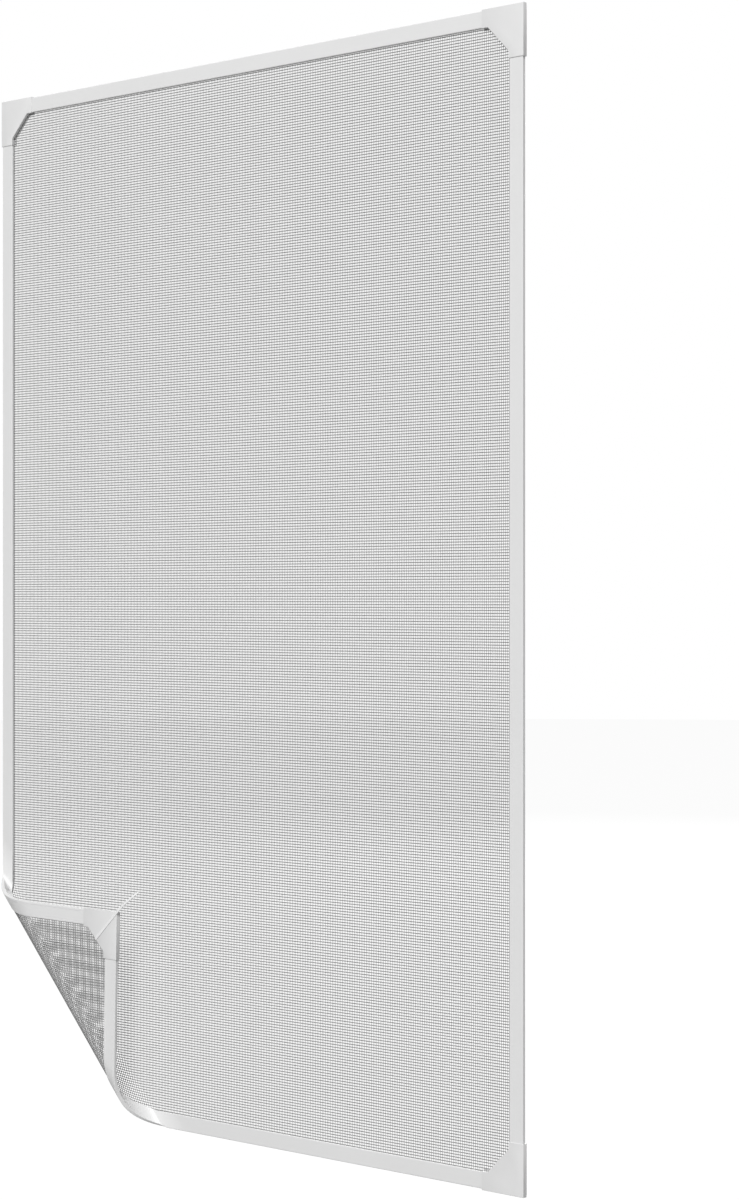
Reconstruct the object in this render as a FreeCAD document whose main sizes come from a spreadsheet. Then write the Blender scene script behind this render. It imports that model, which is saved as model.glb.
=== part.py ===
"""Magnetic window screen: four plastic rails, moulded corner caps and gauze, one corner folded back.

The flat screen is laid out in a plane seen from the room: x runs right and z runs up from the
outer lower left corner of the rails, and depth runs from the window side towards the room.
The lower left corner is folded towards the room, back over the gauze, along tapering bends.
"""
import FreeCAD, Part

import math
import os

import Sketcher

Vector = FreeCAD.Vector

SIZES = [
    ("frame_width", 800.0, "across the outer edges of the rails"),
    ("frame_height", 1200.0, "up the outer edges of the rails"),
    ("rail_width", 17.6, "across one rail"),
    ("rail_depth", 4.4, "from the window side to the room side of a rail"),
    ("rail_front", 1.2, "room side wall of the rail"),
    ("rail_wall", 2.7, "outer and inner side wall of the rail"),
    ("edge_round", 0.9, "rounded front edges of the rail"),
    ("gauze_depth", 0.9, "window side of the gauze"),
    ("gauze_thickness", 0.6, "gauze wall"),
    ("seat_gap", 0.05, "between pieces that press on each other"),
    ("fit_gap", 0.1, "between a piece and the pocket that takes it"),
    ("magnet_width", 12.0, "magnetic strip inside the rail"),
    ("magnet_thickness", 1.2, "magnetic strip inside the rail"),
    ("cover_groove", 0.3, "line pressed along the inner rim of the cover"),
    ("gauze_hem", 3.2, "outer edge of the gauze inside the rail"),
    ("cap_leg", 53.0, "leg of a corner cap from the rail's outer corner"),
    ("cap_wall", 1.2, "outer wall of a corner cap"),
    ("cap_skin", 0.7, "front and back skin of a corner cap"),
    ("cap_lip", 0.5, "inner lip on the room side of a corner cap"),
    ("cap_flange", 2.3, "inner flange on the window side of a corner cap"),
    ("cap_web", 27.5, "leg of the triangular web across the inner corner"),
    ("cap_block", 19.0, "solid corner that the rail ends meet"),
    ("cap_edge", 0.4, "softened front edge of a corner cap"),
    ("tab_width", 3.2, "pull tab where it is bonded to the cap"),
    ("tab_tip_width", 2.0, "pull tab at its free end"),
    ("tab_thickness", 1.0, "pull tab"),
    ("tab_sunk", 0.4, "depth of the groove that the tab is bonded into"),
    ("tab_reach", 42.5, "pull tab beyond the corner"),
    ("tab_rise", 6.0, "sideways bow at the tip of the pull tab"),
    ("tab_lift", 0.4, "lift of the tip off the plane of the cap"),
    ("fold_reach", 199.65, "from the corner to the first line of the fold"),
    ("fold_turn", 45.58, "direction of the folded corner against the lower rail, degrees"),
    ("first_taper_reach", 2611.0, "first bend: from its middle to the tip of its cone, towards the lower rail"),
    ("first_radius", 10.74, "first bend: radius at its middle"),
    ("first_angle", 53.04, "first bend: turn, degrees"),
    ("second_taper_reach", 288.5, "second bend: from its middle to the tip of its cone, towards the left rail"),
    ("second_radius", 18.07, "second bend: radius at its middle"),
    ("second_angle", 60.73, "second bend: turn, degrees"),
    ("third_taper_reach", 371.3, "third bend: from its middle to the tip of its cone, towards the lower rail"),
    ("third_radius", 46.11, "third bend: radius at its middle"),
    ("third_angle", 68.3, "third bend: turn, degrees"),
    ("bend_stations", 4.0, "sections that shape each bend"),
    ("mesh_pitch", 48.0, "between raised threads of the gauze"),
    ("thread_width", 1.6, "raised thread of the gauze"),
    ("thread_height", 0.3, "raised thread of the gauze"),
    ("gap_size", 30.0, "opening in the gauze wall"),
    ("gap_columns", 9.0, "openings across the gauze"),
    ("gap_rows", 13.0, "openings up the gauze"),
    ("bend_margin", 4.0, "kept free of openings and threads beside the bend"),
]

doc = FreeCAD.newDocument("window_screen")
sheet = doc.addObject("Spreadsheet::Sheet", "sizes")


def fill_sheet():
    """Write each driving size with its alias and meaning."""
    for row, (alias, value, meaning) in enumerate(SIZES, start=1):
        sheet.set("A%d" % row, alias)
        sheet.set("B%d" % row, repr(value))
        sheet.set("C%d" % row, meaning)
        sheet.setAlias("B%d" % row, alias)
    doc.recompute()


def size(alias):
    return float(getattr(sheet, alias))


fill_sheet()

WIDTH = size("frame_width")
HEIGHT = size("frame_height")
RAIL = size("rail_width")
DEPTH = size("rail_depth")
MID_RAIL = RAIL / 2
GAUZE_BACK = size("gauze_depth")
GAUZE_FRONT = GAUZE_BACK + size("gauze_thickness")
HEM = size("gauze_hem")
BLOCK = size("cap_block")
FORWARD = Vector(0, -1, 0)


def place(x, z, depth):
    """Point of the flat screen in the part's own frame, its origin behind the middle of the lower rail."""
    return Vector(x - WIDTH / 2, -depth, z - MID_RAIL)


class Bend:
    """Part of the fold where the sheet winds round one slender cone on the room side.

    Its straight lines meet at the cone's tip, and a swing is the angle between one of them and the
    first. The hand is 1 where the cone widens towards the lower rail and -1 where it narrows.
    """

    def __init__(self, middle, along, across, name, hand):
        reach, radius = size(name + "_taper_reach"), size(name + "_radius")
        slope = math.atan2(radius, reach)
        self.hand = hand
        self.along = along * hand
        self.across = across
        self.tip = middle - self.along * reach
        self.axis = (self.along * math.cos(slope) + FORWARD * math.sin(slope)) * -hand
        self.winding = 1 / math.sin(slope)
        self.sweep = math.radians(size(name + "_angle")) / self.winding
        self.reach = reach

    def ray(self, swing):
        """Direction of a straight line of the flat sheet through the cone's tip."""
        return self.along * math.cos(swing) + self.across * math.sin(swing)

    def end(self):
        """Middle, direction along and direction across of the bend's last line."""
        line = self.ray(self.sweep)
        return self.tip + line * self.reach, line * self.hand, self.ray(self.sweep + math.pi / 2)

    def placement(self, swing):
        """Placement of the sheet beside one line: turned onto the first line, then round the cone."""
        level = FreeCAD.Rotation(FORWARD, math.degrees(swing) * self.hand)
        wound = FreeCAD.Rotation(self.axis, math.degrees(swing * self.winding))
        return (FreeCAD.Placement(Vector(), wound, self.tip)
                .multiply(FreeCAD.Placement(Vector(), level, self.tip)))

    def point(self, swing, reach, depth):
        """Point of the bent sheet on one line, at a distance from the tip, with this bend alone."""
        return self.placement(swing).multVec(self.tip + self.ray(swing) * reach + FORWARD * depth)


class Fold:
    """Three bends, one after another, that lay the lower left corner back over the gauze.

    Each bend starts at the last line of the one before, and past the last the sheet is a flat flap.
    A station is the number of a bend with a swing in it. Distances along the sheet stay.
    """

    def __init__(self):
        turn = math.radians(size("fold_turn"))
        across = Vector(-math.cos(turn), 0, -math.sin(turn))
        line = place(0, 0, 0) - across * size("fold_reach"), Vector(math.sin(turn), 0, -math.cos(turn)), across
        self.bends = []
        for name, hand in (("first", -1), ("second", 1), ("third", -1)):
            self.bends.append(Bend(*line, name, hand))
            line = self.bends[-1].end()

    def stations(self, number):
        """Sections of one bend, from its first line to its last."""
        count = int(size("bend_stations"))
        return [(number, self.bends[number].sweep * index / (count - 1)) for index in range(count)]

    def before(self, number):
        """Placement of all that the bends before one of them turn."""
        whole = FreeCAD.Placement()
        for bend in self.bends[:number]:
            whole = whole.multiply(bend.placement(bend.sweep))
        return whole

    def point(self, station, reach, depth):
        """Point of the bent sheet on one line, at a distance from that cone's tip."""
        number, swing = station
        return self.before(number).multVec(self.bends[number].point(swing, reach, depth))

    def beside(self, station, x, z):
        """Distance of a point of the flat sheet past one line, negative before it."""
        bend = self.bends[station[0]]
        return (place(x, z, 0) - bend.tip).dot(bend.ray(station[1] + math.pi / 2))

    def half(self, station, away):
        """Block over the sheet on one side of a line: away is 1 past it and -1 before it."""
        bend = self.bends[station[0]]
        line, beside = bend.ray(station[1]), bend.ray(station[1] + away * math.pi / 2)
        far = bend.reach + WIDTH + HEIGHT
        near, end = bend.tip - line * far, bend.tip + line * far
        face = Part.Face(Part.makePolygon([near, end, end + beside * far, near + beside * far, near]))
        face.translate(FORWARD * -DEPTH)
        return face.extrude(FORWARD * 3 * DEPTH)


def frame_placement(base, x_axis, y_axis):
    z_axis = x_axis.cross(y_axis)
    matrix = FreeCAD.Matrix(
        x_axis.x, y_axis.x, z_axis.x, base.x,
        x_axis.y, y_axis.y, z_axis.y, base.y,
        x_axis.z, y_axis.z, z_axis.z, base.z,
        0, 0, 0, 1)
    return FreeCAD.Placement(matrix)


fold = Fold()
BENDS = [fold.stations(number) for number in range(len(fold.bends))]
FIRST, LAST = BENDS[0][0], BENDS[-1][-1]
FLAP = fold.before(len(fold.bends))


def rail_profile():
    """Hollow rail, open to the window: outer wall, front with rounded edges, shorter inner wall."""
    wall, front, curve = "sizes.rail_wall", "sizes.rail_front", "sizes.edge_round"
    across, deep = "sizes.rail_width", "sizes.rail_depth"
    inner_foot = "(sizes.gauze_depth + sizes.gauze_thickness + sizes.seat_gap)"
    return [
        ("0", "0"), (wall, "0"),
        (wall, deep + " - " + front), (across + " - " + wall, deep + " - " + front),
        (across + " - " + wall, inner_foot), (across, inner_foot),
        (across, deep + " - " + curve), (across + " - 0.3 * " + curve, deep + " - 0.3 * " + curve),
        (across + " - " + curve, deep), (curve, deep),
        ("0.3 * " + curve, deep + " - 0.3 * " + curve), ("0", deep + " - " + curve),
    ]


def cover_profile():
    """Cover strip that closes the rail and grips the gauze, with a line pressed along its rim."""
    start, end = "(sizes.rail_wall + sizes.fit_gap)", "sizes.rail_width"
    front = "(sizes.gauze_depth - sizes.seat_gap)"
    rim, groove = "(sizes.rail_width - sizes.rail_wall)", "sizes.cover_groove"
    return [
        (start, "0"), (rim + " - " + groove, "0"), (rim, groove), (rim + " + " + groove, "0"),
        (end, "0"), (end, front), (start, front),
    ]


def magnet_profile():
    """Flexible magnetic strip, between the gauze and the front of the rail."""
    start = "(sizes.rail_width - sizes.magnet_width) / 2"
    end = "(sizes.rail_width + sizes.magnet_width) / 2"
    front = "(sizes.rail_depth - sizes.rail_front - sizes.seat_gap)"
    back = "(sizes.rail_depth - sizes.rail_front - sizes.seat_gap - sizes.magnet_thickness)"
    return [(start, back), (end, back), (end, front), (start, front)]


PROFILES = {"rail": rail_profile(), "cover_strip": cover_profile(), "magnet_strip": magnet_profile()}
STARTS = {"rail": "sizes.cap_block", "cover_strip": "(sizes.cap_leg + sizes.fit_gap)",
          "magnet_strip": "sizes.cap_block"}


def plane(body, role):
    return next(item for item in body.Origin.OriginFeatures if item.Role == role)


def outline_sketch(body, name, role, points, offset=None):
    """Closed outline whose corners are tied to the sheet, one pair of distances each."""
    sketch = body.newObject("Sketcher::SketchObject", name)
    sketch.AttachmentSupport = (plane(body, role), [""])
    sketch.MapMode = "FlatFace"
    if offset:
        sketch.setExpression("AttachmentOffset.Base.z", offset)
    corners = [Vector(evaluate(x), evaluate(y), 0) for x, y in points]
    for first, second in zip(corners, corners[1:] + corners[:1]):
        sketch.addGeometry(Part.LineSegment(first, second), False)
    count = len(corners)
    for index in range(count):
        sketch.addConstraint(Sketcher.Constraint("Coincident", index, 2, (index + 1) % count, 1))
    for index, ((x, y), corner) in enumerate(zip(points, corners)):
        for kind, rule, value in (("DistanceX", x, corner.x), ("DistanceY", y, corner.y)):
            number = sketch.addConstraint(Sketcher.Constraint(kind, -1, 1, index, 1, value))
            if rule != "0":
                sketch.setExpression("Constraints[%d]" % number, rule)
    return sketch


def evaluate(rule):
    """Value of a rule in the sheet's aliases."""
    result = sheet.evalExpression(rule.replace("sizes.", ""))
    return float(getattr(result, "Value", result))


def section_values(kind):
    return [(evaluate(x), evaluate(y)) for x, y in PROFILES[kind]]


def straight_strip(kind, side):
    """Strip of a side that stays flat: its profile padded from one corner to the next."""
    body = doc.addObject("PartDesign::Body", "%s_%s" % (kind, side))
    body.Label = "%s_%s" % (kind, side)
    sketch = outline_sketch(body, "%s_%s_section" % (kind, side), "XY_Plane", PROFILES[kind])
    pad = body.newObject("PartDesign::Pad", "%s_%s_length" % (kind, side))
    pad.Profile = sketch
    span = "sizes.frame_height" if side == "right" else "sizes.frame_width"
    pad.setExpression("Length", span + " - 2 * " + STARTS[kind])
    start = evaluate(STARTS[kind])
    if side == "right":
        base, across, onward = place(WIDTH, start, 0), Vector(-1, 0, 0), Vector(0, -1, 0)
    else:
        base, across, onward = place(WIDTH - start, HEIGHT, 0), Vector(0, 0, -1), Vector(0, -1, 0)
    body.Placement = frame_placement(base, across, onward)
    return body


def flat_point(side, u, run, depth):
    """Point of a strip at a distance u from its outer edge and a run from the folded corner."""
    return place(u, run, depth) if side == "left" else place(run, u, depth)


def reach_to(side, u, station):
    """Distance from the cone's tip to a line parallel to a side, along one line of the sheet."""
    bend = fold.bends[station[0]]
    direction = bend.ray(station[1])
    edge = place(u, u, 0)
    if side == "left":
        return (edge.x - bend.tip.x) / direction.x
    return (edge.z - bend.tip.z) / direction.z


def bent_strip(side, profile, stations):
    """Stretch of a strip in one bend: its section carried along the bend's lines."""
    return loft([[fold.point(station, reach_to(side, u, station), depth) for u, depth in profile]
                 for station in stations])


def loft(sections):
    wires = [Part.makePolygon(points + points[:1]) for points in sections]
    solid = Part.makeLoft(wires, True)
    if solid.Volume < 0:
        solid.reverse()
    return solid


def flat_strip(side, profile, start, end):
    """Strip drawn flat, with plane faces, between two runs from the folded corner."""
    points = [flat_point(side, u, start, depth) for u, depth in profile]
    face = Part.Face(Part.makePolygon(points + points[:1]))
    return face.extrude(flat_point(side, 0, end, 0) - flat_point(side, 0, start, 0))


def folded_strip(kind, side):
    """Strip of a side that runs into the fold: straight run, bend and return run."""
    profile = section_values(kind)
    start = evaluate(STARTS[kind])
    end = (HEIGHT if side == "left" else WIDTH) - start
    whole = flat_strip(side, profile, start, end)
    run = whole.common(fold.half(FIRST, -1))
    back = whole.common(fold.half(LAST, 1))
    back.Placement = FLAP.multiply(back.Placement)
    strip = doc.addObject("Part::Feature", "%s_%s" % (kind, side))
    strip.Label = "%s_%s" % (kind, side)
    strip.Shape = run.fuse([bent_strip(side, profile, stations) for stations in BENDS] + [back])
    return strip


CAP_TURNS = {"bottom_left": 0, "bottom_right": -90, "top_right": 180, "top_left": 90}


def cap_outline(inner):
    """L shaped outline with a web across the inner corner; inner is the rail edge plus a lip."""
    low = "-sizes.cap_wall"
    leg = "sizes.cap_leg"
    web = "(sizes.rail_width + sizes.cap_web)"
    return [(low, low), (leg, low), (leg, inner), (web, inner), (inner, web), (inner, leg), (low, leg)]


def corner_cap(corner):
    """Moulded corner: back plate with a flange, front shell, pockets for two rails, slot for gauze."""
    body = doc.addObject("PartDesign::Body", "corner_cap_" + corner)
    body.Label = "corner_cap_" + corner
    slot_back = "(sizes.gauze_depth - sizes.seat_gap)"
    flange = "(sizes.rail_width + sizes.cap_flange)"
    lip = "(sizes.rail_width + sizes.cap_lip)"
    back = outline_sketch(body, corner + "_back", "XZ_Plane", cap_outline(flange), "-sizes.cap_skin")
    plate = body.newObject("PartDesign::Pad", corner + "_plate")
    plate.Profile = back
    plate.setExpression("Length", slot_back + " + sizes.cap_skin")
    front = outline_sketch(body, corner + "_front", "XZ_Plane", cap_outline(lip), slot_back)
    shell = body.newObject("PartDesign::Pad", corner + "_shell")
    shell.Profile = front
    shell.setExpression("Length", "sizes.rail_depth + sizes.cap_skin - " + slot_back)
    doc.recompute()
    eased = body.newObject("PartDesign::Chamfer", corner + "_softened")
    eased.Base = (shell, front_edges(shell.Shape))
    eased.setExpression("Size", "min(sizes.cap_edge; 0.8 * sizes.cap_skin; 0.8 * sizes.cap_lip)")
    body.Tip = eased
    for leg, turned in (("x", False), ("z", True)):
        pocket_box(body, "%s_pocket_%s" % (corner, leg), turned, "sizes.rail_width", slot_back)
        pocket_box(body, "%s_wall_pocket_%s" % (corner, leg), turned, "sizes.rail_wall", "-sizes.fit_gap")
    slot = body.newObject("PartDesign::SubtractiveBox", corner + "_gauze_slot")
    room = "(sizes.gauze_hem - 2 * sizes.fit_gap)"
    slot.setExpression("Length", "sizes.cap_leg + sizes.cap_wall - " + room)
    slot.setExpression("Height", "sizes.cap_leg + sizes.cap_wall - " + room)
    slot.setExpression("Width", "sizes.gauze_thickness + 2 * sizes.seat_gap")
    slot.setExpression("Placement.Base.x", room)
    slot.setExpression("Placement.Base.z", room)
    slot.setExpression("Placement.Base.y", "-(sizes.gauze_depth + sizes.gauze_thickness + sizes.seat_gap)")
    groove_half = "(sizes.tab_width / 2 + sizes.fit_gap) / sqrt(2)"
    groove = body.newObject("PartDesign::SubtractiveBox", corner + "_tab_groove")
    groove.setExpression("Length", "sizes.tab_width + 2 * sizes.fit_gap")
    groove.setExpression("Width", "sizes.tab_sunk")
    groove.setExpression("Height", "2 * sizes.cap_leg")
    groove.setExpression("Placement.Base.x", "-2 * sizes.cap_wall - %s" % groove_half)
    groove.setExpression("Placement.Base.z", "-2 * sizes.cap_wall + %s" % groove_half)
    groove.setExpression("Placement.Base.y", "sizes.cap_skin - sizes.tab_sunk")
    groove.Placement.Rotation = FreeCAD.Rotation(Vector(0, 1, 0), 45)
    turn = FreeCAD.Rotation(Vector(0, 1, 0), CAP_TURNS[corner])
    base = place(WIDTH if "right" in corner else 0, HEIGHT if "top" in corner else 0, 0)
    body.Placement = FreeCAD.Placement(base, turn)
    if corner == "bottom_left":
        body.Placement = FLAP.multiply(body.Placement)
    return body


def front_edges(shape):
    """Names of the edges round the room side face of a cap."""
    front = min(vertex.Point.y for vertex in shape.Vertexes)
    names = []
    for number, edge in enumerate(shape.Edges, start=1):
        if all(abs(vertex.Point.y - front) < 1e-6 for vertex in edge.Vertexes):
            names.append("Edge%d" % number)
    return names


def pocket_box(body, name, turned, across, back):
    """Pocket for a rail end, open at the end of its leg, over part of the rail's section."""
    pocket = body.newObject("PartDesign::SubtractiveBox", name)
    long_side, short_side = ("Height", "Length") if turned else ("Length", "Height")
    pocket.setExpression(long_side, "sizes.cap_leg - sizes.cap_block + sizes.fit_gap + sizes.cap_wall")
    pocket.setExpression(short_side, across + " + 2 * sizes.fit_gap")
    pocket.setExpression("Width", "sizes.rail_depth + sizes.fit_gap - (%s)" % back)
    onward, beside = ("z", "x") if turned else ("x", "z")
    pocket.setExpression("Placement.Base." + onward, "sizes.cap_block - sizes.fit_gap")
    pocket.setExpression("Placement.Base." + beside, "-sizes.fit_gap")
    pocket.setExpression("Placement.Base.y", "-sizes.rail_depth - sizes.fit_gap")


def pull_tab():
    """Slim tongue bonded along the diagonal of the folded cap; its free end tapers and is bowed."""
    thick, reach, rise = size("tab_thickness"), size("tab_reach"), size("tab_rise")
    width, tip_width = size("tab_width"), size("tab_tip_width")
    lift = Vector(0, size("tab_lift"), 0)
    diagonal = math.sqrt(0.5)
    inner = (RAIL + size("cap_flange") + RAIL + size("cap_web")) / 2
    outer = -size("cap_wall")
    back = size("tab_sunk") - size("cap_skin")
    pull = Vector(-1, 0, -1) * diagonal
    side = Vector(1, 0, -1) * diagonal
    start = place(inner, inner, back) + pull * size("fit_gap")
    edge = place(outer, outer, back)
    middle = edge + pull * (reach / 2) + side * (rise / 3) + lift / 2
    tip = edge + pull * reach + side * rise + lift
    bonded = Part.Face(tongue_section(start, pull, width, thick)).extrude(edge - start)
    end = (tip - middle).normalize()
    free = Part.Wire([free_run(edge, pull, middle, tip, end)]).makePipeShell(
        [tongue_section(edge, pull, width, thick), tongue_section(tip, end, tip_width, thick)], True, False)
    tab = doc.addObject("Part::Feature", "pull_tab")
    tab.Label = "pull_tab"
    shape = bonded.fuse(free)
    shape.Placement = FLAP.multiply(shape.Placement)
    tab.Shape = shape
    return tab


def tongue_section(point, heading, width, thick):
    """Section of the tab across its heading, standing on a point of its underside's middle line."""
    beside = heading.cross(Vector(0, 1, 0)).normalize() * (width / 2)
    rise = Vector(0, thick, 0)
    corners = [point - beside, point + beside, point + beside + rise, point - beside + rise]
    return Part.makePolygon(corners + corners[:1])


def free_run(start, heading, middle, tip, end):
    curve = Part.BSplineCurve()
    pace = (tip - start).Length
    curve.interpolate(Points=[start, middle, tip], InitialTangent=heading * pace, FinalTangent=end * pace)
    return curve.toShape()


def gauze_wall():
    """Gauze wall: main panel, tapering bends and flap."""
    thickness = size("gauze_thickness")
    first = [edge_point(side, FIRST) for side in ("left", "bottom")]
    last = [edge_point(side, LAST) for side in ("left", "bottom")]
    outer = [place(HEM, HEIGHT - HEM, 0), place(WIDTH - HEM, HEIGHT - HEM, 0), place(WIDTH - HEM, HEM, 0)]
    panel = slab([first[0]] + outer + [first[1]], thickness)
    flap = slab([last[0], place(HEM, HEM, 0), last[1]], thickness)
    flap.Placement = FLAP.multiply(flap.Placement)
    return panel.fuse([gauze_bend(stations) for stations in BENDS] + [flap])


def gauze_bend(stations):
    """Wall that winds through one bend, from the hem in the left rail to the one in the lower rail."""
    sections = []
    for station in stations:
        left, bottom = reach_to("left", HEM, station), reach_to("bottom", HEM, station)
        sections.append([fold.point(station, reach, depth) for reach, depth in (
            (left, GAUZE_BACK), (bottom, GAUZE_BACK), (bottom, GAUZE_FRONT), (left, GAUZE_FRONT))])
    return loft(sections)


def edge_point(side, station):
    """Where a line of the sheet meets the gauze edge inside a rail."""
    bend = fold.bends[station[0]]
    return bend.tip + bend.ray(station[1]) * reach_to(side, HEM, station)


def slab(points, thickness):
    face = Part.Face(Part.makePolygon(points + points[:1]))
    face.translate(Vector(0, -GAUZE_BACK, 0))
    return face.extrude(Vector(0, -thickness, 0))


def flat_part(points):
    """Part of the sheet that holds all the points, panel or flap, or None where the bend is near."""
    margin = size("bend_margin")
    if max(fold.beside(FIRST, x, z) for x, z in points) < -margin:
        return "panel"
    if min(fold.beside(LAST, x, z) for x, z in points) > margin:
        return "flap"
    return None


def gauze_openings():
    """Square openings in a grid, each wholly on the panel or wholly on the flap."""
    columns, rows, gap = int(size("gap_columns")), int(size("gap_rows")), size("gap_size")
    step_x = (WIDTH - 2 * RAIL) / columns
    step_z = (HEIGHT - 2 * RAIL) / rows
    tools = []
    for column in range(columns):
        for row in range(rows):
            x = RAIL + (column + 0.5) * step_x - gap / 2
            z = RAIL + (row + 0.5) * step_z - gap / 2
            part = flat_part([(x + i * gap, z + j * gap) for i in (0, 1) for j in (0, 1)])
            if part:
                box = Part.makeBox(gap, 2 * DEPTH, gap, place(x, z, GAUZE_FRONT + DEPTH))
                tools.append(on_part(box, part))
    return tools


def on_part(shape, part):
    """Shape drawn on the flat sheet, carried over if it belongs to the flap."""
    if part == "flap":
        shape.Placement = FLAP.multiply(shape.Placement)
    return shape


def free_span(near, low, high, total):
    """Stretch between the caps or rails for a thread at a distance near from one of the ends."""
    lip = RAIL + size("cap_flange") + size("fit_gap")
    leg = size("cap_leg") + size("fit_gap")
    margin = leg if min(near, total - near) < leg else lip
    return low + margin, high - margin


def raised_threads():
    """Raised threads: weft across the room side, warp up the window side, clear of rails and caps."""
    pitch, thick, high = size("mesh_pitch"), size("thread_width"), size("thread_height")
    lip = RAIL + size("cap_flange") + size("fit_gap")
    ridges = []
    for crosswise in (True, False):
        length, breadth = (HEIGHT, WIDTH) if crosswise else (WIDTH, HEIGHT)
        count = int((length - 2 * lip) / pitch)
        start = (length - (count - 1) * pitch) / 2
        for index in range(count):
            at = start + index * pitch
            low, far = free_span(at, 0, breadth, length)
            for part, stretch in thread_runs(crosswise, at, low, far):
                ridges.append(on_part(thread_box(crosswise, at - thick / 2, stretch, thick, high), part))
    return ridges


def thread_runs(crosswise, at, low, far):
    """Stretches of one thread that lie on the flat panel or on the flat flap."""
    step = size("thread_width") * 4
    inside = {"panel": [], "flap": [], None: []}
    for index in range(int((far - low) / step) + 1):
        run = low + index * step
        inside[flat_part([(run, at) if crosswise else (at, run)])].append(run)
    return [(part, (inside[part][0], inside[part][-1])) for part in ("panel", "flap")
            if len(inside[part]) > 2]


def thread_box(crosswise, at, stretch, thick, high):
    length = stretch[1] - stretch[0]
    sunk = size("gauze_thickness") / 2
    if crosswise:
        return Part.makeBox(length, high + sunk, thick, place(stretch[0], at, GAUZE_FRONT + high))
    return Part.makeBox(thick, high + sunk, length, place(at, stretch[0], GAUZE_BACK + sunk))


def gauze():
    wall = doc.addObject("Part::Feature", "gauze_wall")
    wall.Shape = gauze_wall().fuse(raised_threads())
    tools = doc.addObject("Part::Feature", "gauze_gaps")
    tools.Shape = Part.makeCompound(gauze_openings())
    cut = doc.addObject("Part::Cut", "gauze")
    cut.Label = "gauze"
    cut.Base = wall
    cut.Tool = tools
    return cut


def build():
    nodes = []
    for kind in PROFILES:
        nodes += [straight_strip(kind, side) for side in ("top", "right")]
        nodes += [folded_strip(kind, side) for side in ("left", "bottom")]
    nodes += [corner_cap(corner) for corner in CAP_TURNS]
    nodes.append(pull_tab())
    nodes.append(gauze())
    return nodes


def check(nodes):
    for item in doc.Objects:
        if "Invalid" in item.State or "Error" in item.State:
            raise RuntimeError("%s did not build: %s" % (item.Name, item.State))
    for node in nodes:
        if node.Shape.isNull() or not node.Shape.isValid():
            raise RuntimeError("%s has no valid shape" % node.Label)


def export(nodes):
    os.makedirs("parts", exist_ok=True)
    for node in nodes:
        node.Shape.exportStep(os.path.join("parts", node.Label + ".step"))
        print("%-26s solids %d  volume %10.1f mm3" % (node.Label, len(node.Shape.Solids), node.Shape.Volume))


nodes = build()
doc.recompute()
check(nodes)
export(nodes)
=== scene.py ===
import math

import bmesh
import bpy
from mathutils import Matrix, Vector


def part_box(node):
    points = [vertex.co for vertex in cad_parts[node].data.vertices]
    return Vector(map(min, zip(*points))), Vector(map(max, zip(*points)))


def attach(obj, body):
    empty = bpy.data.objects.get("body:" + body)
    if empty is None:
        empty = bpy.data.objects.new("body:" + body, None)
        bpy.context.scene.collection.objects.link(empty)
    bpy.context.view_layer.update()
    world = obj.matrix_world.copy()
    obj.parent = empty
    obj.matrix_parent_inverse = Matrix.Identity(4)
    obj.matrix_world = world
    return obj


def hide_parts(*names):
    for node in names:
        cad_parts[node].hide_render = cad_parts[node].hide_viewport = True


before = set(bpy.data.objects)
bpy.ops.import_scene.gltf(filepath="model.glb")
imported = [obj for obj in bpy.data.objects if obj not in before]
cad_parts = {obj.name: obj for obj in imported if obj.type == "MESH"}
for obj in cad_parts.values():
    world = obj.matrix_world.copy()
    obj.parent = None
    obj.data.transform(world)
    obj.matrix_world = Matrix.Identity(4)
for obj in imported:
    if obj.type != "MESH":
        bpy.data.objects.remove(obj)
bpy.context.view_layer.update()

MM = 0.001
SIDES = ("top", "right", "bottom", "left")
CORNERS = ("top_left", "top_right", "bottom_right", "bottom_left")

# Sizes read from the frame
RAIL_LOW, RAIL_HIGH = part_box("rail_right")
TOP_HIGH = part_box("rail_top")[1]
COVER_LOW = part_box("cover_strip_right")[0]
WIDTH = 2 * RAIL_HIGH.x
RAIL = RAIL_HIGH.x - RAIL_LOW.x
DEPTH = -RAIL_LOW.y
BASE = -RAIL / 2
HEIGHT = TOP_HIGH.z - BASE
RAIL_START = RAIL_LOW.z - BASE
COVER_START = COVER_LOW.z - BASE

# Section of the rail and its cover strip
WALL = 2.7 * MM
FRONT_WALL = 1.2 * MM
EDGE_ROUND = 0.9 * MM
FOOT_ROUND = 0.3 * MM
BACK_ROUND = 0.7 * MM
EDGE_STEPS, FOOT_STEPS, BACK_STEPS = 5, 2, 4
GAUZE_BACK = 0.9 * MM
GAUZE_FRONT = 1.5 * MM
SEAT_GAP = 0.05 * MM
FIT_GAP = 0.1 * MM
COVER_GROOVE = 0.3 * MM

# Moulded pieces: how far their edges are rounded, and which angles count as sharp and as flat
CAP_SOFTNESS = 0.18 * MM
TAB_SOFTNESS = 0.12 * MM
SOFTNESS_STEPS = 2
SHARP_ANGLE = math.radians(30)
FLAT_ANGLE = math.radians(1.0)
MERGE_DISTANCE = 0.001 * MM

# Fold of the lower left corner: three bends, one after another, each round its own slender cone.
# Taper reach and radius are a cone's at its middle; the hand is 1 where it widens towards the lower rail
FOLD_REACH = 199.65 * MM
FOLD_TURN = math.radians(45.58)
BEND_SIZES = ((2611.0 * MM, 10.74 * MM, math.radians(53.04), -1),
              (288.5 * MM, 18.07 * MM, math.radians(60.73), 1),
              (371.3 * MM, 46.11 * MM, math.radians(68.3), -1))
BEND_STEPS = (3, 7, 9)
CORNER = Vector((-WIDTH / 2, 0, BASE))
FORWARD = Vector((0, -1, 0))

# Flat stretch on each side of the fold, up to a section that keeps the shading even beyond it, and
# how far the shading on the fold's first line turns into the bend
FLAT_MARGIN = 36 * MM
EASE_TURN = math.radians(17)

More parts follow.
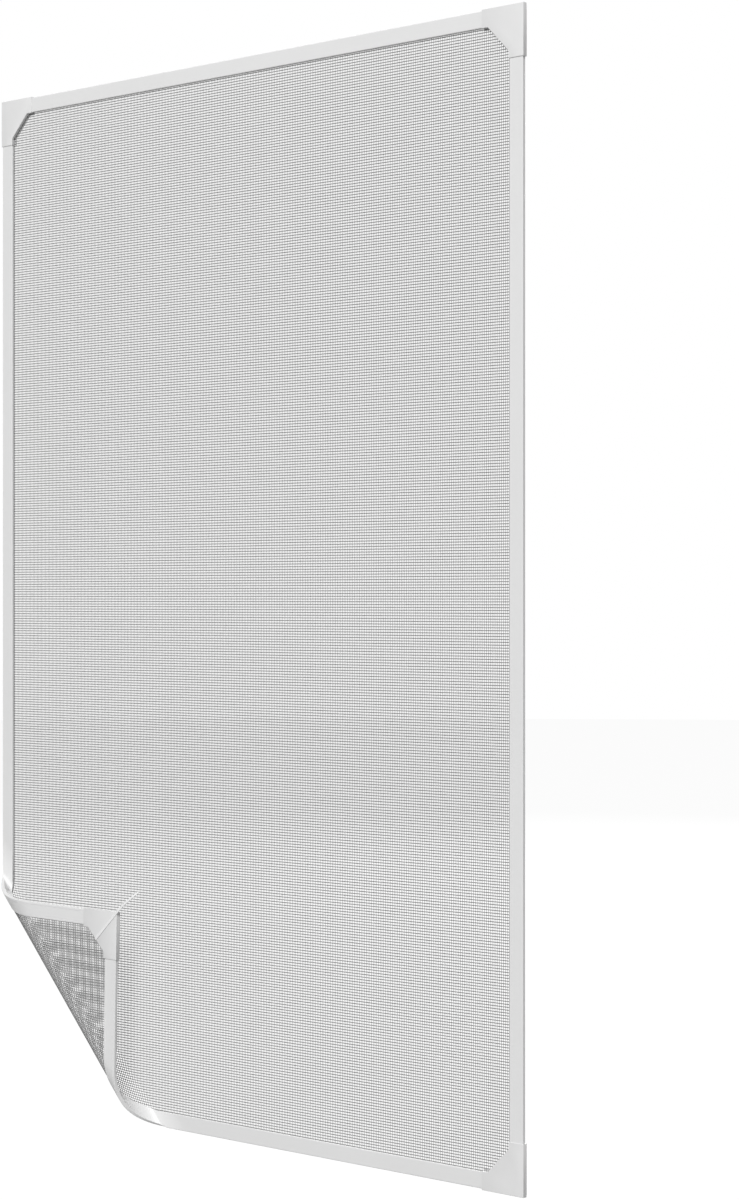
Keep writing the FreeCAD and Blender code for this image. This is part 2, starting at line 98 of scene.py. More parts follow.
# Gauze: the yarns are drawn coarser than the real 1.5 mm mesh, so that they show, and the warp
# lighter than the weft, because the real one is too slender to be drawn as wide as it is here
HEM = 3.2 * MM
WEFT_PITCH = 2.93 * MM
WEFT_RADIUS = 0.476 * MM
WARP_PITCH = 2.45 * MM
WARP_RADIUS = 0.39 * MM
FLATNESS = 0.45
THREAD_SIDES = 6
THREAD_STEPS = 32
PLAIN_STEPS = 4
WEFT_DEPTH = 1.3 * MM
WARP_DEPTH = 1.06 * MM

# Materials: colour code and roughness, with the refractive index of each kind
RAIL_FINISH = ("#DBDBDB", 0.42)
COVER_FINISH = ("#DCDCDC", 0.46)
CAP_FINISH = ("#DADADA", 0.38)
TAB_FINISH = ("#EDEDED", 0.3)
FERRITE_FINISH = ("#2E2C2C", 0.75)
WEFT_CODE, WARP_CODE = "#7A7A7A", "#A9A9A9"
YARN_ROUGHNESS = 0.6
PVC_INDEX, ABS_INDEX, FILM_INDEX, COATING_INDEX, RUBBER_INDEX = 1.53, 1.54, 1.57, 1.5, 1.5

# Textures: spots in a metre with their detail, or stretched ones in a metre along each axis
STRIP_CLOUDS = (9.0, 2.0)
CAP_CLOUDS = (30.0, 2.0)
CAP_GRAIN = (2600.0, 2.0)
TAB_CLOUDS = (200.0, 1.0)
FERRITE_GRAIN = (1500.0, 3.0)
YARN_SPOTS = (420.0, 2.0)
DRAWN_LINES = (6, 1400, 1)
DRAWN_DETAIL = 3.0
YARN_STREAKS = (12, 12, 340)
STREAK_DETAIL = 1.0

# Darkest and lightest tone as shares of the colour, and the span of the noise from one to the other
STRIP_TONES = (0.985, 1.015)
CAP_TONES = (0.985, 1.01)
TAB_TONES = (0.97, 1.02)
FERRITE_TONES = (0.8, 1.25)
YARN_TONES = (0.88, 1.12)
NOISE_SPAN = (0.35, 0.65)
STRIP_SPAN = (0.3, 0.7)

# Relief as strength and height, and how far the drawn lines change the roughness either way
DRAWN_RELIEF = (0.12, 0.05 * MM)
CAP_RELIEF = (0.15, 0.03 * MM)
SMOOTHER, ROUGHER = 0.04, 0.05

# Light: each lamp's direction from the middle of the frame, and what it gives a surface facing it
AMBIENT = 0.26
LAMP_DISTANCE = 14.0
LAMP_RADIUS = 3.0
LAMPS = {"softbox": ((0.31, -0.66, 0.68), 3.3), "back_fill": ((-0.45, 0.8, 0.35), 1.5)}

# Floor: how far below the frame it lies, its tone, and the glow that makes it white to the camera
FLOOR_DROP = 0.9
FLOOR_RADIUS = 30.0
FLOOR_SIDES = 64
FLOOR_CODE = "#A5A5A5"
FLOOR_GLOW = 1.25
GLOW_SHARE = 0.75

# Camera: level, from the right, at the photo's viewing angle
IMAGE_HEIGHT = 1200
CAMERA_TURN = math.radians(41.695)
CAMERA_PLACE = Vector((2035.971, -2072.452, 600.83)) * MM + Vector((0, 0, BASE))
FOCAL_PIXELS = 2618.56
SENSOR = 36.0
HORIZON_SHIFT = -0.93 / IMAGE_HEIGHT
CLIP_START, CLIP_END = 0.01, 200


class Bend:
    """One bend of the fold: the sheet's lines meet at the tip of the cone that they wind round."""

    def __init__(self, middle, along, across, reach, radius, angle, hand):
        slope = math.atan2(radius, reach)
        self.reach, self.hand, self.across = reach, hand, across
        self.along = along * hand
        self.tip = middle - self.along * reach
        self.axis = (self.along * math.cos(slope) + FORWARD * math.sin(slope)) * -hand
        self.winding = 1 / math.sin(slope)
        self.sweep = angle * math.sin(slope)

    def ray(self, swing):
        """Direction of one of the sheet's straight lines, a swing away from the first."""
        return self.along * math.cos(swing) + self.across * math.sin(swing)

    def end(self):
        """Middle, direction along and direction across of the bend's last line."""
        line = self.ray(self.sweep)
        return self.tip + line * self.reach, line * self.hand, self.ray(self.sweep + math.pi / 2)


def fold_bends():
    """The fold's bends in the flat sheet, each starting at the last line of the one before."""
    across = Vector((-math.cos(FOLD_TURN), 0, -math.sin(FOLD_TURN)))
    line = CORNER - across * FOLD_REACH, Vector((math.sin(FOLD_TURN), 0, -math.cos(FOLD_TURN))), across
    bends = []
    for sizes in BEND_SIZES:
        bends.append(Bend(*line, *sizes))
        line = bends[-1].end()
    return bends


BENDS = fold_bends()


def linear(code):
    """sRGB hex code to a linear colour."""
    values = [int(code[i:i + 2], 16) / 255 for i in (1, 3, 5)]
    return tuple(v / 12.92 if v <= 0.04045 else ((v + 0.055) / 1.055) ** 2.4 for v in values) + (1.0,)


def add(tree, kind, inputs=None, **settings):
    """Add a node; an input is a plain value, a socket, or a node for its first output."""
    node = tree.nodes.new(kind)
    for name, value in settings.items():
        setattr(node, name, value)
    for key, value in (inputs or {}).items():
        if isinstance(value, bpy.types.Node):
            value = value.outputs[0]
        if isinstance(value, bpy.types.NodeSocket):
            tree.links.new(value, node.inputs[key])
        else:
            node.inputs[key].default_value = value
    return node


def calc(tree, operation, *values):
    """Number worked out from numbers."""
    return add(tree, "ShaderNodeMath", dict(enumerate(values)), operation=operation).outputs[0]


def vector(tree, operation, *values):
    """Vector worked out from vectors, or the number that a dot product gives."""
    node = add(tree, "ShaderNodeVectorMath", dict(enumerate(values)), operation=operation)
    return node.outputs["Value" if operation == "DOT_PRODUCT" else "Vector"]


def scaled(tree, value, factor):
    """Vector times a number."""
    return add(tree, "ShaderNodeVectorMath", {0: value, "Scale": factor}, operation="SCALE").outputs[0]


def new_material(name):
    """Empty material and its node tree."""
    material = bpy.data.materials.new(name)
    material.use_nodes = True
    material.node_tree.nodes.clear()
    return material, material.node_tree


def surface(tree, shader):
    add(tree, "ShaderNodeOutputMaterial", {"Surface": shader})


def noise(tree, place, per_unit, detail):
    return add(tree, "ShaderNodeTexNoise", {"Vector": place, "Scale": per_unit, "Detail": detail})


def relief(tree, height, strength, distance):
    return add(tree, "ShaderNodeBump", {"Height": height, "Strength": strength, "Distance": distance})


def object_place(tree):
    return add(tree, "ShaderNodeTexCoord").outputs["Object"]


def shade_ramp(tree, factor, code, tones, span):
    """Ramp over a span of a noise, from a darker to a lighter tone of one colour."""
    node = add(tree, "ShaderNodeValToRGB", {0: factor})
    for element, position, share in zip(node.color_ramp.elements, span, tones):
        element.position = position
        element.color = tuple(min(1.0, part * share) for part in linear(code)[:3]) + (1.0,)
    return node


def extruded_plastic(name, code, roughness):
    """Soft PVC profile, extruded: satin, with faint lines drawn out along its length."""
    material, tree = new_material(name)
    uv = add(tree, "ShaderNodeUVMap", uv_map="run_across")
    stretched = add(tree, "ShaderNodeMapping", {"Vector": uv, "Scale": DRAWN_LINES})
    lines = noise(tree, stretched, 1.0, DRAWN_DETAIL)
    clouds = noise(tree, object_place(tree), *STRIP_CLOUDS)
    blend = add(tree, "ShaderNodeMix", {0: 0.5, 2: clouds, 3: lines})
    rough = add(tree, "ShaderNodeMapRange", {
        "Value": lines, "To Min": roughness - SMOOTHER, "To Max": roughness + ROUGHER})
    surface(tree, add(tree, "ShaderNodeBsdfPrincipled", {
        "Base Color": shade_ramp(tree, blend, code, STRIP_TONES, STRIP_SPAN), "Roughness": rough,
        "Normal": relief(tree, lines, *DRAWN_RELIEF), "IOR": PVC_INDEX}))
    return material


def mottled(name, finish, index, texture, tones):
    """Even material with a faint mottle, and its node tree, place and shader."""
    material, tree = new_material(name)
    place = object_place(tree)
    code, roughness = finish
    shader = add(tree, "ShaderNodeBsdfPrincipled", {
        "Base Color": shade_ramp(tree, noise(tree, place, *texture), code, tones, NOISE_SPAN),
        "Roughness": roughness, "IOR": index})
    surface(tree, shader)
    return material, tree, place, shader


def moulded_plastic(name):
    """Injection moulded ABS: fine spark-eroded grain, a little glossier than the strips."""
    material, tree, place, shader = mottled(name, CAP_FINISH, ABS_INDEX, CAP_CLOUDS, CAP_TONES)
    bump = relief(tree, noise(tree, place, *CAP_GRAIN), *CAP_RELIEF)
    tree.links.new(bump.outputs[0], shader.inputs["Normal"])
    return material


def ferrite(name):
    """Rubber-bonded ferrite strip: dark, matt, with a fine dusty grain."""
    return mottled(name, FERRITE_FINISH, RUBBER_INDEX, FERRITE_GRAIN, FERRITE_TONES)[0]


def tab_plastic(name):
    """Slim polyester tongue: smooth, slightly glossy and milky."""
    return mottled(name, TAB_FINISH, FILM_INDEX, TAB_CLOUDS, TAB_TONES)[0]


def coated_fibre(name):
    """Glass fibre yarn in a PVC coat: matt, a little uneven along each thread."""
    material, tree = new_material(name)
    place = object_place(tree)
    family = add(tree, "ShaderNodeAttribute", attribute_name="warp")
    yarn = add(tree, "ShaderNodeMix", {
        0: family.outputs["Fac"], 6: linear(WEFT_CODE), 7: linear(WARP_CODE)}, data_type="RGBA")
    drawn = add(tree, "ShaderNodeMapping", {"Vector": place, "Scale": YARN_STREAKS})
    blend = add(tree, "ShaderNodeMix", {
        0: 0.5, 2: noise(tree, place, *YARN_SPOTS), 3: noise(tree, drawn, 1.0, STREAK_DETAIL)})
    shade = add(tree, "ShaderNodeMapRange", {
        "Value": blend, "From Min": NOISE_SPAN[0], "From Max": NOISE_SPAN[1],
        "To Min": YARN_TONES[0], "To Max": YARN_TONES[1]})
    surface(tree, add(tree, "ShaderNodeBsdfPrincipled", {
        "Base Color": scaled(tree, yarn.outputs[2], shade), "Roughness": YARN_ROUGHNESS,
        "IOR": COATING_INDEX}))
    return material


def new_group(name, inputs, output="Geometry", kind="Geometry"):
    """Node group with inputs in lots of (kind, names), and the sockets that give them inside it."""
    tree = bpy.data.node_groups.new(name, "GeometryNodeTree")
    for lot, labels in inputs:
        for label in labels:
            tree.interface.new_socket(name=label, in_out="INPUT", socket_type="NodeSocket" + lot)
    tree.interface.new_socket(name=output, in_out="OUTPUT", socket_type="NodeSocket" + kind)
    return tree, add(tree, "NodeGroupInput").outputs


def give_out(tree, shape, finish):
    """Last nodes of a piece: one plain mesh with its material."""
    whole = add(tree, "GeometryNodeRealizeInstances", {"Geometry": shape})
    finished = add(tree, "GeometryNodeSetMaterial", {"Geometry": whole, "Material": finish})
    add(tree, "NodeGroupOutput", {"Geometry": finished})


def bend_tree():
    """Node group of one bend, for points that the bends after it have already wound.

    Flat is where a point lies in the flat sheet. From the first line of the bend to its last, the
    point turns in the sheet about the cone's tip until its line meets the first one, and then winds
    with it round the cone.
    """
    tree, given = new_group("cone_bend", (
        ("Vector", ("Flat", "Position", "Tip", "Along", "Across", "Axis")),
        ("Float", ("Hand", "Sweep", "Winding"))), "Position", "Vector")
    away = vector(tree, "SUBTRACT", given["Flat"], given["Tip"])
    run = vector(tree, "DOT_PRODUCT", away, given["Along"])
    side = vector(tree, "DOT_PRODUCT", away, given["Across"])
    swing = calc(tree, "ARCTAN2", side, run)
    passed = add(tree, "ShaderNodeClamp", {"Value": swing, "Min": 0.0, "Max": given["Sweep"]})
    level = add(tree, "ShaderNodeVectorRotate", {
        "Vector": given["Position"], "Center": given["Tip"], "Axis": FORWARD,
        "Angle": calc(tree, "MULTIPLY", passed, given["Hand"])})
    wound = add(tree, "ShaderNodeVectorRotate", {
        "Vector": level, "Center": given["Tip"], "Axis": given["Axis"],
        "Angle": calc(tree, "MULTIPLY", passed, given["Winding"])})
    add(tree, "NodeGroupOutput", {"Position": wound})
    return tree


def fold_tree():
    """Node group that lays the lower left corner of anything drawn flat back over the rest."""
    bend = bend_tree()
    tree, given = new_group("fold_corner", (("Geometry", ("Geometry",)),))
    flat = before = add(tree, "GeometryNodeInputPosition")
    for part in reversed(BENDS):
        before = add(tree, "GeometryNodeGroup", {
            "Flat": flat, "Position": before, "Tip": part.tip, "Along": part.along,
            "Across": part.across, "Axis": part.axis, "Hand": part.hand, "Sweep": part.sweep,
            "Winding": part.winding}, node_tree=bend)
    moved = add(tree, "GeometryNodeSetPosition", {"Geometry": given["Geometry"], "Position": before})
    add(tree, "NodeGroupOutput", {"Geometry": moved})
    return tree


def folded_piece_tree(fold):
    """Tree for one strip drawn flat: fold it and give it its finish."""
    tree, given = new_group("folded_strip", (("Geometry", ("Geometry",)), ("Material", ("Finish",))))
    bent = add(tree, "GeometryNodeGroup", {"Geometry": given["Geometry"]}, node_tree=fold)
    give_out(tree, bent, given["Finish"])
    return tree


def new_piece(name, mesh):
    """Object that shows a mesh, under the same name."""
    mesh.name = name
    piece = bpy.data.objects.new(name, mesh)
    bpy.context.scene.collection.objects.link(piece)
    return piece


def applied(piece):
    """Plain mesh object with what a piece's modifiers make of it, in its stead."""
    bpy.context.view_layer.update()
    graph = bpy.context.evaluated_depsgraph_get()
    mesh = bpy.data.meshes.new_from_object(piece.evaluated_get(graph))
    name = piece.name
    bpy.data.objects.remove(piece)
    return new_piece(name, mesh)


def with_nodes(base, tree, inputs):
    """Plain mesh object made by a geometry tree on a base object, which is then removed."""
    modifier = base.modifiers.new("shape", "NODES")
    modifier.node_group = tree
    for item in tree.interface.items_tree:
        if item.item_type == "SOCKET" and item.in_out == "INPUT" and item.name in inputs:
            modifier[item.identifier] = inputs[item.name]
    return applied(base)


def smooth(mesh):
    for face in mesh.polygons:
        face.use_smooth = True


def corner_arc(centre, radius, start, steps):
    """Points of a quarter circle, with its first and last marked as the edges of flat faces."""
    points = []
    for index in range(steps + 1):
        angle = math.radians(start + 90 * index / steps)
        points.append((centre[0] + radius * math.cos(angle), centre[1] + radius * math.sin(angle),
                       index in (0, steps)))
    return points


def rail_section():
    """Rail section as (across, depth, sharp): hollow, open behind, with rounded edges."""
    foot = GAUZE_FRONT + SEAT_GAP
    points = [(BACK_ROUND, 0, True), (WALL, 0, True), (WALL, DEPTH - FRONT_WALL, True),
              (RAIL - WALL, DEPTH - FRONT_WALL, True), (RAIL - WALL, foot, True)]
    points += corner_arc((RAIL - FOOT_ROUND, foot + FOOT_ROUND), FOOT_ROUND, 270, FOOT_STEPS)
    points += corner_arc((RAIL - EDGE_ROUND, DEPTH - EDGE_ROUND), EDGE_ROUND, 0, EDGE_STEPS)
    points += corner_arc((EDGE_ROUND, DEPTH - EDGE_ROUND), EDGE_ROUND, 90, EDGE_STEPS)
    points += corner_arc((BACK_ROUND, BACK_ROUND), BACK_ROUND, 180, BACK_STEPS)[:-1]
    return points


def cover_section():
    """Cover strip section: thin, with a line pressed along its inner rim and softened edges."""
    start, end = WALL + FIT_GAP, RAIL
    front, rim = GAUZE_BACK - SEAT_GAP, RAIL - WALL
    points = [(start + COVER_GROOVE, 0, True), (rim - COVER_GROOVE, 0, True), (rim, COVER_GROOVE, True),
              (rim + COVER_GROOVE, 0, True), (end - FOOT_ROUND, 0, True)]
    points += corner_arc((end - FOOT_ROUND, FOOT_ROUND), FOOT_ROUND, 270, FOOT_STEPS)[1:]
    points += [(end, front, True), (start, front, True), (start, COVER_GROOVE, True)]
    return points


def flat_place(side, u, run, depth):
    """Point of a strip: u across it from its outer edge, run along it, depth towards the room."""
    if side == "left":
        return Vector((CORNER.x + u, -depth, BASE + run))
    if side == "bottom":
        return Vector((CORNER.x + run, -depth, BASE + u))
    if side == "right":
        return Vector((CORNER.x + WIDTH - u, -depth, BASE + run))
    return Vector((CORNER.x + run, -depth, BASE + HEIGHT - u))


def line_run(side, u, bend, swing):
    """Run at which one of the sheet's lines crosses a strip at u."""
    line = bend.ray(swing)
    if side == "left":
        return bend.tip.z + line.z * (CORNER.x + u - bend.tip.x) / line.x - BASE
    return bend.tip.x + line.x * (BASE + u - bend.tip.z) / line.z - CORNER.x


def section_runs(side, start, u):
    """Runs of a strip's sections at u across it, from its lower or left end on."""
    length = HEIGHT if side in ("left", "right") else WIDTH
    if side in ("top", "right"):
        return [start, length - start]
    first, last = BENDS[0], BENDS[-1]
    runs = [line_run(side, u, first, 0) + FLAT_MARGIN, line_run(side, u, first, 0)]
    for bend, steps in zip(BENDS, BEND_STEPS):
        runs += [line_run(side, u, bend, bend.sweep * index / steps) for index in range(1, steps + 1)]
    runs.append(line_run(side, u, last, last.sweep) - FLAT_MARGIN)
    return [start] + runs[::-1] + [length - start]


def flat_strip(name, side, section, start):
    """Strip drawn flat: its section at each of its runs, closed at both ends."""
    graph = bmesh.new()
    uv = graph.loops.layers.uv.new("run_across")
    runs = list(zip(*(section_runs(side, start, u) for u, _, _ in section)))
    rows = [[graph.verts.new(flat_place(side, u, run, depth))
             for (u, depth, _), run in zip(section, row)] for row in runs]
    count = len(section)
    lengths = [0.0]
    for first, second in zip(section, section[1:] + section[:1]):
        lengths.append(lengths[-1] + math.dist(first[:2], second[:2]))
    for number in range(len(rows) - 1):
        for index in range(count):
            spots = ((number, index, index), (number, (index + 1) % count, index + 1),
                     (number + 1, (index + 1) % count, index + 1), (number + 1, index, index))
            face = graph.faces.new([rows[row][spot] for row, spot, _ in spots])
            face.smooth = True
            for loop, (row, spot, mark) in zip(face.loops, spots):
                loop[uv].uv = (runs[row][spot], lengths[mark])
            if section[index][2]:
                graph.edges.get((rows[number][index], rows[number + 1][index])).smooth = False
    for row in (rows[0], rows[-1]):
        for edge in graph.faces.new(row).edges:
            edge.smooth = False
    bmesh.ops.recalc_face_normals(graph, faces=graph.faces)
    mesh = bpy.data.meshes.new(name)
    graph.to_mesh(mesh)
    graph.free()
    return new_piece(name, mesh)


def ease_into_bend(mesh, count):
    """Turn the shading on the fold's first line part of the way into the bend.

    The real profile starts to bend gently, so its light grows over the last of the flat run. Count
    is the points in a section; the fold's first line is the third section from the strip's far end.
    """
    end = len(mesh.vertices)
    first_line = range(end - 3 * count, end - 2 * count)
    turn = Matrix.Rotation(EASE_TURN, 3, BENDS[0].axis)
    mesh.normals_split_custom_set([
        turn @ corner.vector if loop.vertex_index in first_line else Vector()
        for loop, corner in zip(mesh.loops, mesh.corner_normals)])


def strip(name, side, section, start, tree, finish, node):
    """One finished strip that stands for its solid."""
    piece = with_nodes(flat_strip(name, side, section, start), tree, {"Finish": finish})
    if side in ("left", "bottom"):
        ease_into_bend(piece.data, len(section))
    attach(piece, "root")
    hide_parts(node)
    return piece


def softened_copy(name, node, width, finish):
    """Copy of a moulded solid with its corners merged and its sharp edges rounded."""
    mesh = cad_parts[node].data.copy()
    graph = bmesh.new()
    graph.from_mesh(mesh)
    bmesh.ops.remove_doubles(graph, verts=graph.verts, dist=MERGE_DISTANCE)
    bmesh.ops.dissolve_limit(graph, angle_limit=FLAT_ANGLE, verts=graph.verts, edges=graph.edges)
    graph.to_mesh(mesh)
    graph.free()
    mesh.materials.clear()
    mesh.materials.append(finish)
    smooth(mesh)
    piece = new_piece(name, mesh)
    bevel = piece.modifiers.new("soft_edges", "BEVEL")
    bevel.width = width
    bevel.segments = SOFTNESS_STEPS
    bevel.limit_method = "ANGLE"
    bevel.angle_limit = SHARP_ANGLE
    bevel.harden_normals = True
    piece = applied(piece)
    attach(piece, "root")
    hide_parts(node)
    return piece


def thread_tree(fold):
    """Node group of parallel flattened threads, folded, with their points gathered at the fold.

    Station is the direction from thread to thread and Run the direction along a thread. First and
    Last are points on the first and last line of the fold, and each Slope is how far that line moves
    along the threads for each step from one to the next. Flatness is a thread's thickness as a share
    of its width, and Warp is stored on its points for the material.
    """
    tree, given = new_group("parallel_threads", (
        ("Vector", ("Station", "Run", "First", "Last")),
        ("Float", ("Start", "Pitch", "Low", "High", "First Slope", "Last Slope", "Depth", "Radius",
                   "Flatness", "Warp")),
        ("Int", ("Count", "Steps"))))
    row = add(tree, "GeometryNodeMeshLine", {
        "Count": given["Count"], "Start Location": scaled(tree, given["Station"], given["Start"]),
        "Offset": scaled(tree, given["Station"], given["Pitch"])})
    thread = add(tree, "GeometryNodeCurvePrimitiveLine", {"Start": (0, 0, 0), "End": given["Run"]})
    divided = add(tree, "GeometryNodeResampleCurve", {"Curve": thread, "Count": given["Steps"]})
    laid = add(tree, "GeometryNodeInstanceOnPoints", {"Points": row, "Instance": divided})
    lines = add(tree, "GeometryNodeRealizeInstances", {"Geometry": laid})

    position = add(tree, "GeometryNodeInputPosition")
    part = vector(tree, "DOT_PRODUCT", position, given["Run"])
    station = vector(tree, "DOT_PRODUCT", position, given["Station"])
    crossings = []
    for name in ("Last", "First"):
        mark_station = vector(tree, "DOT_PRODUCT", given[name], given["Station"])
        mark_run = vector(tree, "DOT_PRODUCT", given[name], given["Run"])
        rise = calc(tree, "SUBTRACT", station, mark_station)
        met = calc(tree, "MULTIPLY_ADD", rise, given[name + " Slope"], mark_run)
        crossings.append(calc(tree, "MAXIMUM", met, given["Low"]))
    last_line, first_line = crossings
    edge = calc(tree, "DIVIDE", 1.0, calc(tree, "SUBTRACT", given["Steps"], 1.0))
    far_edge = calc(tree, "SUBTRACT", 1.0, edge)
    before = add(tree, "ShaderNodeMapRange", {
        "Value": part, "From Min": 0.0, "From Max": edge, "To Min": given["Low"], "To Max": last_line})
    within = add(tree, "ShaderNodeMapRange", {"Value": part, "From Min": edge, "From Max": far_edge})
    beyond = add(tree, "ShaderNodeMapRange", {"Value": part, "From Min": far_edge, "From Max": 1.0})
    span = calc(tree, "SUBTRACT", first_line, last_line)
    rest = calc(tree, "SUBTRACT", given["High"], first_line)
    bent = calc(tree, "MULTIPLY_ADD", within, span, before)
    total = calc(tree, "MULTIPLY_ADD", beyond, rest, bent)
    along, over = scaled(tree, given["Run"], total), scaled(tree, given["Station"], station)
    spot = vector(tree, "ADD", along, over)
    placed = add(tree, "GeometryNodeSetPosition", {"Geometry": lines, "Position": spot})

    ring = add(tree, "GeometryNodeCurvePrimitiveCircle", {
        "Resolution": THREAD_SIDES, "Radius": given["Radius"]})
    threads = add(tree, "GeometryNodeCurveToMesh", {
        "Curve": placed, "Profile Curve": ring, "Fill Caps": True})
    squeeze = add(tree, "ShaderNodeCombineXYZ", {"X": 1.0, "Y": given["Flatness"], "Z": 1.0})
    front = scaled(tree, FORWARD, given["Depth"])
    flat = add(tree, "GeometryNodeSetPosition", {
        "Geometry": threads, "Position": vector(tree, "MULTIPLY_ADD", position, squeeze, front)})
    marked = add(tree, "GeometryNodeStoreNamedAttribute", {
        "Geometry": flat, "Name": "warp", "Value": given["Warp"]})
    folded = add(tree, "GeometryNodeGroup", {"Geometry": marked}, node_tree=fold)
    add(tree, "NodeGroupOutput", {"Geometry": folded})
    return tree


def gauze_tree(fold):
    """Tree of the whole gauze: weft and warp, each in a lot that meets the fold and a plain one."""
    threads = thread_tree(fold)
    tree, given = new_group("woven_gauze", (
        ("Float", ("Weft Pitch", "Weft Radius", "Warp Pitch", "Warp Radius", "Flatness")),
        ("Material", ("Finish",))))
    joined = add(tree, "GeometryNodeJoinGeometry")
    for kind, sizes in thread_families():
        lines = add(tree, "GeometryNodeGroup", {
            "Pitch": given[kind + " Pitch"], "Radius": given[kind + " Radius"],
            "Flatness": given["Flatness"], **sizes}, node_tree=threads)
        tree.links.new(lines.outputs[0], joined.inputs[0])
    give_out(tree, joined, given["Finish"])
    return tree


def thread_families():
    """Sizes of the weft and the warp, each in two lots: threads that meet the fold and plain ones."""
    right, up = Vector((1, 0, 0)), Vector((0, 0, 1))
    sides = {"x": (CORNER.x + HEM, CORNER.x + WIDTH - HEM), "z": (BASE + HEM, BASE + HEIGHT - HEM)}
    lines = [(BENDS[0].tip, BENDS[0].ray(0)), (BENDS[-1].tip, BENDS[-1].ray(BENDS[-1].sweep))]
    families = []
    for kind, pitch, station, run, step_axis, run_axis, depth in (
            ("Weft", WEFT_PITCH, up, right, "z", "x", WEFT_DEPTH),
            ("Warp", WARP_PITCH, right, up, "x", "z", WARP_DEPTH)):
        low, high = sides[run_axis]
        start, end = sides[step_axis]
        slopes = [getattr(line, run_axis) / getattr(line, step_axis) for _, line in lines]
        mark = lines[0][0]
        limit = getattr(mark, step_axis) + (low - getattr(mark, run_axis)) / slopes[0]
        whole = int((end - start) / pitch) + 1
        folding = int((limit - start) / pitch) + 1
        for begin, count, steps in ((0, folding, THREAD_STEPS), (folding, whole - folding, PLAIN_STEPS)):
            families.append((kind, {
                "Station": station, "Run": run, "First": lines[0][0], "Last": lines[1][0],
                "Start": start + begin * pitch, "Low": low, "High": high, "First Slope": slopes[0],
                "Last Slope": slopes[1], "Depth": depth, "Warp": float(kind == "Warp"),
                "Count": count, "Steps": steps}))
    return families


def gauze(fold, finish):
    """The gauze as separate flattened threads, stretched between the rails."""
    base = new_piece("gauze_threads", bpy.data.meshes.new("gauze_threads"))
    piece = with_nodes(base, gauze_tree(fold), {
        "Weft Pitch": WEFT_PITCH, "Weft Radius": WEFT_RADIUS, "Warp Pitch": WARP_PITCH,
        "Warp Radius": WARP_RADIUS, "Flatness": FLATNESS, "Finish": finish})
    smooth(piece.data)
    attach(piece, "root")
    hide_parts("gauze")
    return piece


def seen_directly(tree):
    """1 for the camera and for what gloss or glass shows, and 0 for light that falls on the object."""
    path = add(tree, "ShaderNodeLightPath").outputs
    seen = calc(tree, "MAXIMUM", path["Is Camera Ray"], path["Is Glossy Ray"])
    return calc(tree, "MAXIMUM", seen, path["Is Transmission Ray"])


def stage(floor_level):
    """Pale floor below that keeps to a plain white for the camera."""
    material, tree = new_material("stage_white")
    share = calc(tree, "MULTIPLY", seen_directly(tree), GLOW_SHARE)
    matt = add(tree, "ShaderNodeBsdfDiffuse", {"Color": linear(FLOOR_CODE)})
    glow = add(tree, "ShaderNodeEmission", {"Color": (1, 1, 1, 1), "Strength": FLOOR_GLOW})
    surface(tree, add(tree, "ShaderNodeMixShader", {0: share, 1: matt, 2: glow}))
    graph = bmesh.new()
    bmesh.ops.create_circle(graph, cap_ends=True, radius=FLOOR_RADIUS, segments=FLOOR_SIDES)
    mesh = bpy.data.meshes.new("floor")
    graph.to_mesh(mesh)
    graph.free()
    mesh.transform(Matrix.Translation((0, 0, floor_level)))
    mesh.materials.append(material)
    new_piece("floor", mesh)


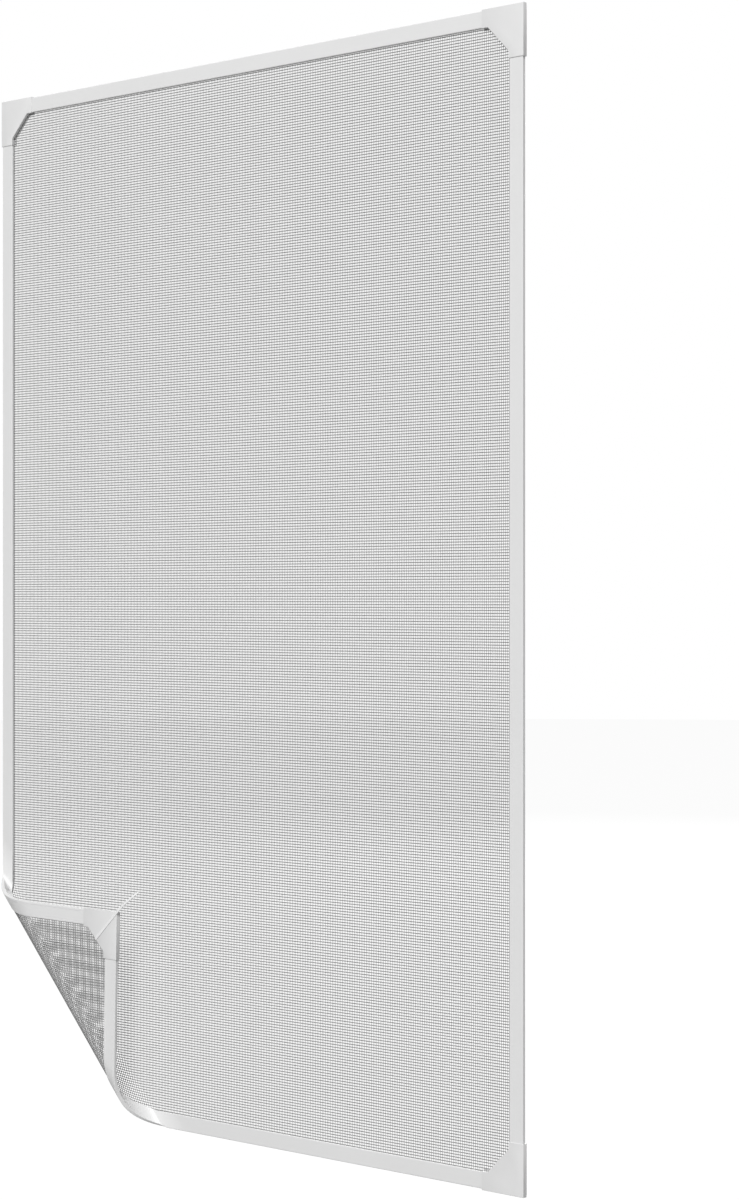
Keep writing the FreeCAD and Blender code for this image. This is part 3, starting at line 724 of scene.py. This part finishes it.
def light_room():
    """Even sky light, a large soft lamp high on the camera's side and a weaker one behind."""
    world = bpy.data.worlds.new("soft_sky")
    world.use_nodes = True
    tree = world.node_tree
    tree.nodes.clear()
    level = add(tree, "ShaderNodeMapRange", {
        "Value": seen_directly(tree), "To Min": AMBIENT, "To Max": 1.0})
    sky = add(tree, "ShaderNodeBackground", {"Color": (1, 1, 1, 1), "Strength": level})
    add(tree, "ShaderNodeOutputWorld", {"Surface": sky})
    bpy.context.scene.world = world
    for name, (direction, strength) in LAMPS.items():
        lamp = bpy.data.lights.new(name, "AREA")
        lamp.shape = "DISK"
        lamp.size = 2 * LAMP_RADIUS
        lamp.energy = strength * math.pi * LAMP_DISTANCE ** 2
        light = bpy.data.objects.new(name, lamp)
        towards = Vector(direction).normalized()
        light.location = Vector((0, 0, BASE + HEIGHT / 2)) + towards * LAMP_DISTANCE
        light.rotation_euler = towards.to_track_quat("Z", "Y").to_euler()
        light.visible_camera = False
        bpy.context.scene.collection.objects.link(light)


def camera():
    """Camera in the photo's place."""
    data = bpy.data.cameras.new("photo_view")
    data.sensor_width = SENSOR
    data.sensor_fit = "AUTO"
    data.lens = FOCAL_PIXELS * SENSOR / IMAGE_HEIGHT
    data.shift_y = HORIZON_SHIFT
    data.clip_start = CLIP_START
    data.clip_end = CLIP_END
    view = bpy.data.objects.new("photo_view", data)
    view.location = CAMERA_PLACE
    view.rotation_euler = (math.radians(90), 0, CAMERA_TURN)
    bpy.context.scene.collection.objects.link(view)
    bpy.context.scene.camera = view


def build():
    """All pieces of the screen; the magnetic strips keep their solids and get a material."""
    plastic = extruded_plastic("extruded_pvc_white", *RAIL_FINISH)
    cover_plastic = extruded_plastic("extruded_pvc_cover", *COVER_FINISH)
    cap_plastic = moulded_plastic("moulded_abs_white")
    fibre = coated_fibre("coated_glass_fibre")
    magnet_rubber = ferrite("bonded_ferrite")
    fold = fold_tree()
    strips = folded_piece_tree(fold)
    for side in SIDES:
        strip("rail_front_" + side, side, rail_section(), RAIL_START, strips, plastic,
              "rail_" + side)
        strip("cover_back_" + side, side, cover_section(), COVER_START, strips, cover_plastic,
              "cover_strip_" + side)
        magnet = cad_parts["magnet_strip_" + side]
        for spot in magnet.material_slots:
            spot.material = magnet_rubber
    for corner in CORNERS:
        softened_copy("cap_" + corner, "corner_cap_" + corner, CAP_SOFTNESS, cap_plastic)
    softened_copy("tab", "pull_tab", TAB_SOFTNESS, tab_plastic("milky_polyester"))
    gauze(fold, fibre)


build()
stage(BASE - FLOOR_DROP)
light_room()
camera()
bpy.context.scene.view_settings.view_transform = "Standard"
